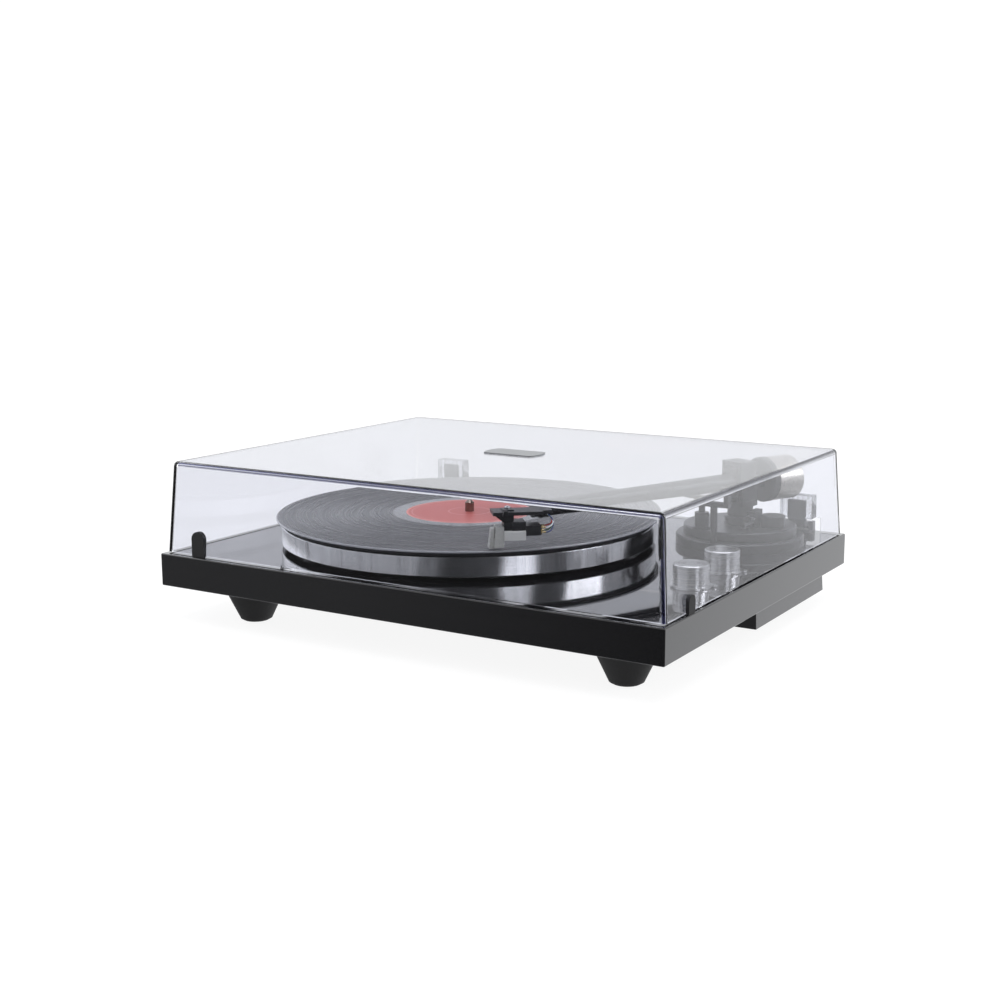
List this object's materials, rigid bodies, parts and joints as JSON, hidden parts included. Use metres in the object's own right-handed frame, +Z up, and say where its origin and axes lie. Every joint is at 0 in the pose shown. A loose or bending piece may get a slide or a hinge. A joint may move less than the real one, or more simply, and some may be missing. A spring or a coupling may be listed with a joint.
{
  "type": "turntable record player",
  "caption": "Black turntable record player with a platter, record and tonearm under a hinged clear dust cover, turned knobs and cone feet.",
  "frame": {"origin": "on the surface the feet stand on, below the centre of the plinth", "axes": "+X to the right of a user at the front, along the plinth's long side; +Y to the back; +Z up"},
  "size_m": [0.424, 0.336, 0.1208],
  "materials": {
    "plinth_black": "polished black lacquer",
    "base_black": "matt black",
    "foot_rubber": "moulded rubber",
    "housing_grey": "smooth moulded",
    "board_green": "circuit board",
    "bearing_brass": "turned brass",
    "motor_steel": "zinc plated",
    "belt_rubber": "smooth rubber",
    "arm_black": "satin black moulded",
    "tube_black": "black anodised, satin",
    "weight_metal": "turned and plated",
    "screw_chrome": "polished",
    "cartridge_grey": "moulded pale grey",
    "platter_aluminium": "fine turned",
    "mat_rubber": "ribbed rubber",
    "record_vinyl": "pressed grooves",
    "label_paper": "plain salmon paper",
    "knob_aluminium": "spun aluminium",
    "clear_acrylic": "clear polished acrylic",
    "badge_grey": "blank satin plate",
    "hinge_grey": "moulded"
  },
  "bodies": {
    "base": {"plinth": "plinth_black", "base_plate": "base_black", "foot_front_left": "foot_rubber", "foot_front_right": "foot_rubber", "foot_rear_left": "foot_rubber", "foot_rear_right": "foot_rubber", "electronics_box": "housing_grey", "circuit_board": "board_green", "rotary_switch_front": "base_black", "rotary_switch_rear": "base_black", "bearing_housing": "bearing_brass", "motor": "motor_steel", "belt": "belt_rubber", "jack_panel": "base_black", "jack_left": "bearing_brass", "jack_right": "bearing_brass", "ground_post": "motor_steel", "power_inlet": "base_black", "arm_base": "arm_black", "arm_tier": "arm_black", "arm_pillar": "arm_black", "arm_rest": "arm_black", "lift_post": "arm_black", "cue_housing": "arm_black", "hinge_base_left": "hinge_grey", "hinge_base_right": "hinge_grey"},
    "turning_platter": {"platter": "platter_aluminium", "spindle": "screw_chrome", "slip_mat": "mat_rubber", "record": "record_vinyl", "record_label": "label_paper"},
    "pulley": {"motor_pulley": "bearing_brass"},
    "yoke": {"arm_yoke": "arm_black"},
    "arm": {"arm_block": "arm_black", "arm_tube": "tube_black", "rear_stub": "tube_black", "headshell": "arm_black", "shell_screw": "screw_chrome", "finger_lift": "arm_black", "cartridge_mount": "arm_black", "cartridge_body": "cartridge_grey", "stylus_guard": "cartridge_grey", "cartridge_pins": "bearing_brass"},
    "weight": {"counterweight": "weight_metal"},
    "dial": {"force_dial": "arm_black"},
    "lifter": {"cue_lift": "arm_black"},
    "lever": {"cue_lever": "arm_black"},
    "skate_knob": {"anti_skate_knob": "arm_black"},
    "front_knob": {"knob_front": "knob_aluminium"},
    "rear_knob": {"knob_rear": "knob_aluminium"},
    "lid": {"dust_cover": "clear_acrylic", "badge_plate": "badge_grey", "front_bumper": "foot_rubber", "side_bumper": "foot_rubber", "hinge_tongue_left": "hinge_grey", "hinge_tongue_right": "hinge_grey", "hinge_receiver_left": "clear_acrylic", "hinge_receiver_right": "clear_acrylic"}
  },
  "joints": [
    {"name": "lid_hinge", "type": "hinge", "parent": "base", "child": "lid", "pos_m": [0, 0.1635, 0.055], "axis": [-1, 0, 0], "range_deg": [0, 60]},
    {"name": "platter_spin", "type": "hinge", "parent": "base", "child": "turning_platter", "pos_m": [-0.038, -0.004, 0.05], "axis": [0, 0, -1], "continuous": true},
    {"name": "pulley_spin", "type": "hinge", "parent": "base", "child": "pulley", "pos_m": [-0.11826, 0.06827, 0.05], "axis": [0, 0, -1], "continuous": true},
    {"name": "tonearm_yaw", "type": "hinge", "parent": "base", "child": "yoke", "pos_m": [0.149, 0.094, 0.08], "axis": [0, 0, 1], "range_deg": [-25, 22]},
    {"name": "tonearm_lift", "type": "hinge", "parent": "yoke", "child": "arm", "pos_m": [0.149, 0.094, 0.0965], "axis": [-0.9128, 0.4083, 0], "range_deg": [0, 2.5]},
    {"name": "weight_slide", "type": "slide", "parent": "arm", "child": "weight", "axis": [0.4083, 0.9128, 0], "range_m": [-0.003, 0.003]},
    {"name": "dial_turn", "type": "hinge", "parent": "weight", "child": "dial", "pos_m": [0.149, 0.094, 0.0965], "axis": [0.4083, 0.9128, 0], "continuous": true},
    {"name": "cue_lifter", "type": "slide", "parent": "base", "child": "lifter", "axis": [0, 0, 1], "range_m": [0, 0.0018]},
    {"name": "cue_lever_turn", "type": "hinge", "parent": "base", "child": "lever", "pos_m": [0.1655, 0.075, 0.0715], "axis": [-1, 0, 0], "range_deg": [0, 52]},
    {"name": "anti_skate_turn", "type": "hinge", "parent": "base", "child": "skate_knob", "pos_m": [0.177, 0.092, 0.07], "axis": [0, 0, -1], "range_deg": [0, 270]},
    {"name": "front_knob_turn", "type": "hinge", "parent": "base", "child": "front_knob", "pos_m": [0.1782, -0.06, 0.05], "axis": [0, 0, -1], "range_deg": [0, 90]},
    {"name": "rear_knob_turn", "type": "hinge", "parent": "base", "child": "rear_knob", "pos_m": [0.1782, -0.007, 0.05], "axis": [0, 0, -1], "range_deg": [0, 270]}
  ],
  "couplings": [
    {"joint": "pulley_spin", "follows": "platter_spin", "ratio": 9.375},
    {"joint": "cue_lifter", "follows": "tonearm_lift", "m_per_rad": 0.0385},
    {"joint": "cue_lever_turn", "follows": "tonearm_lift", "ratio": 20}
  ]
}
